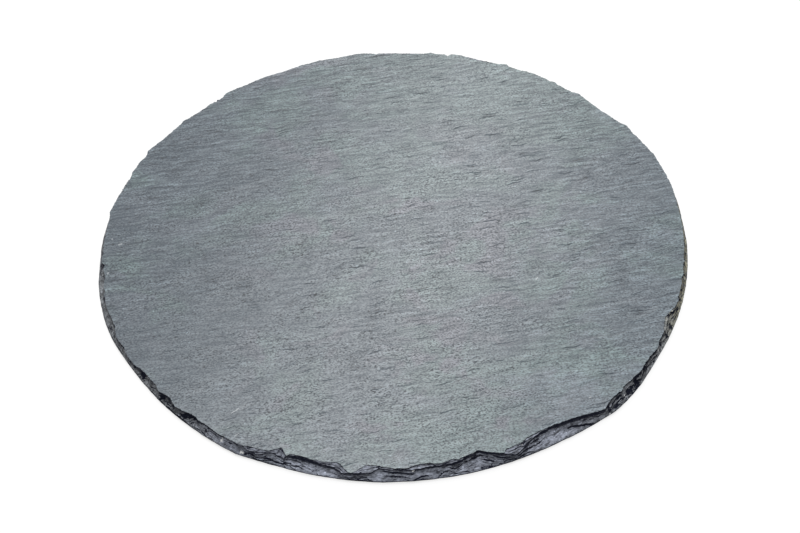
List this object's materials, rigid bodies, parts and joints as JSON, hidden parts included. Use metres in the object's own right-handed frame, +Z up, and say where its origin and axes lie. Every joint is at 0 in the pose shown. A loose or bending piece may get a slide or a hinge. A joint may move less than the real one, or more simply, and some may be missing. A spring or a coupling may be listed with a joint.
{
  "type": "slate serving board",
  "caption": "Round serving board of natural riven slate with a hand-dressed, chipped rim, standing on small self-adhesive rubber feet.",
  "frame": {"origin": "on the surface that the feet stand on, under the middle of the board", "axes": "+Z up out of the serving face, +Y towards the back of the board as pictured, +X to the right"},
  "size_m": [0.3, 0.3, 0.0067],
  "materials": {
    "slate": "riven, matt, unoiled",
    "foot_rubber": "moulded, matt",
    "adhesive": "tacky acrylic film"
  },
  "bodies": {
    "root": {"slate_slab": "slate", "foot_front_left": "foot_rubber", "foot_front_right": "foot_rubber", "foot_back_left": "foot_rubber", "foot_back_right": "foot_rubber", "adhesive_disc_front_left": "adhesive", "adhesive_disc_front_right": "adhesive", "adhesive_disc_back_left": "adhesive", "adhesive_disc_back_right": "adhesive"}
  },
  "joints": []
}
